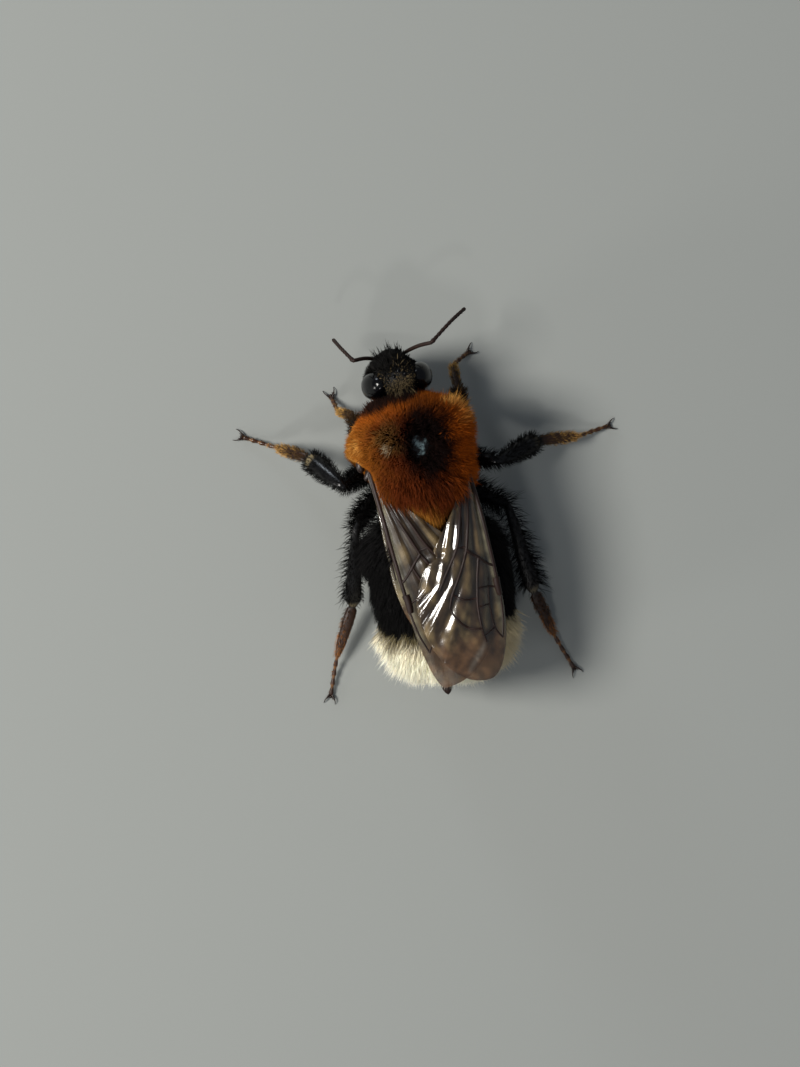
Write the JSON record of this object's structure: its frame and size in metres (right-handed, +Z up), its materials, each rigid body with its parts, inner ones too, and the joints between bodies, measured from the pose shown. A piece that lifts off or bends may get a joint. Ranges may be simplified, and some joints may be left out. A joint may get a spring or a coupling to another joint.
{
  "type": "bumblebee",
  "caption": "Life-size worker tree bumblebee: ginger-haired thorax, black abdomen with a white tail, smoky wings folded over its back, standing on spread legs.",
  "frame": {"origin": "centre of the bounding box's underside, on the floor between the feet", "axes": "+Z up, -Y towards the head, +X towards the bee's left side"},
  "size_m": [0.017, 0.0168, 0.0074],
  "materials": {
    "ginger_coat": "velvety hair",
    "black_coat": "velvety hair",
    "white_coat": "long soft hair",
    "compound_eye": "glossy",
    "black_cuticle": "satin with hairs",
    "brown_cuticle": "satin with hairs",
    "claw": "glossy",
    "wing_membrane": "glossy, wrinkled membrane"
  },
  "bodies": {
    "root": {"abdomen": "black_coat", "head": "black_coat", "left_eye": "compound_eye", "left_flagellum": "black_cuticle", "left_fore_basitarsus": "brown_cuticle", "left_fore_claws": "claw", "left_fore_coxa": "black_cuticle", "left_fore_femur": "black_cuticle", "left_fore_tarsus": "brown_cuticle", "left_fore_tibia": "black_cuticle", "left_forewing": "wing_membrane", "left_hind_basitarsus": "brown_cuticle", "left_hind_claws": "claw", "left_hind_coxa": "black_cuticle", "left_hind_femur": "black_cuticle", "left_hind_tarsus": "brown_cuticle", "left_hind_tibia": "black_cuticle", "left_hindwing": "wing_membrane", "left_mandible": "black_cuticle", "left_mid_basitarsus": "brown_cuticle", "left_mid_claws": "claw", "left_mid_coxa": "black_cuticle", "left_mid_femur": "black_cuticle", "left_mid_tarsus": "brown_cuticle", "left_mid_tibia": "black_cuticle", "left_scape": "black_cuticle", "left_tegula": "brown_cuticle", "neck": "black_coat", "proboscis": "brown_cuticle", "right_eye": "compound_eye", "right_flagellum": "black_cuticle", "right_fore_basitarsus": "brown_cuticle", "right_fore_claws": "claw", "right_fore_coxa": "black_cuticle", "right_fore_femur": "black_cuticle", "right_fore_tarsus": "brown_cuticle", "right_fore_tibia": "black_cuticle", "right_forewing": "wing_membrane", "right_hind_basitarsus": "brown_cuticle", "right_hind_claws": "claw", "right_hind_coxa": "black_cuticle", "right_hind_femur": "black_cuticle", "right_hind_tarsus": "brown_cuticle", "right_hind_tibia": "black_cuticle", "right_hindwing": "wing_membrane", "right_mandible": "black_cuticle", "right_mid_basitarsus": "brown_cuticle", "right_mid_claws": "claw", "right_mid_coxa": "black_cuticle", "right_mid_femur": "black_cuticle", "right_mid_tarsus": "brown_cuticle", "right_mid_tibia": "black_cuticle", "right_scape": "black_cuticle", "right_tegula": "brown_cuticle", "tail": "white_coat", "tail_tip": "black_cuticle", "thorax": "ginger_coat"}
  },
  "joints": []
}
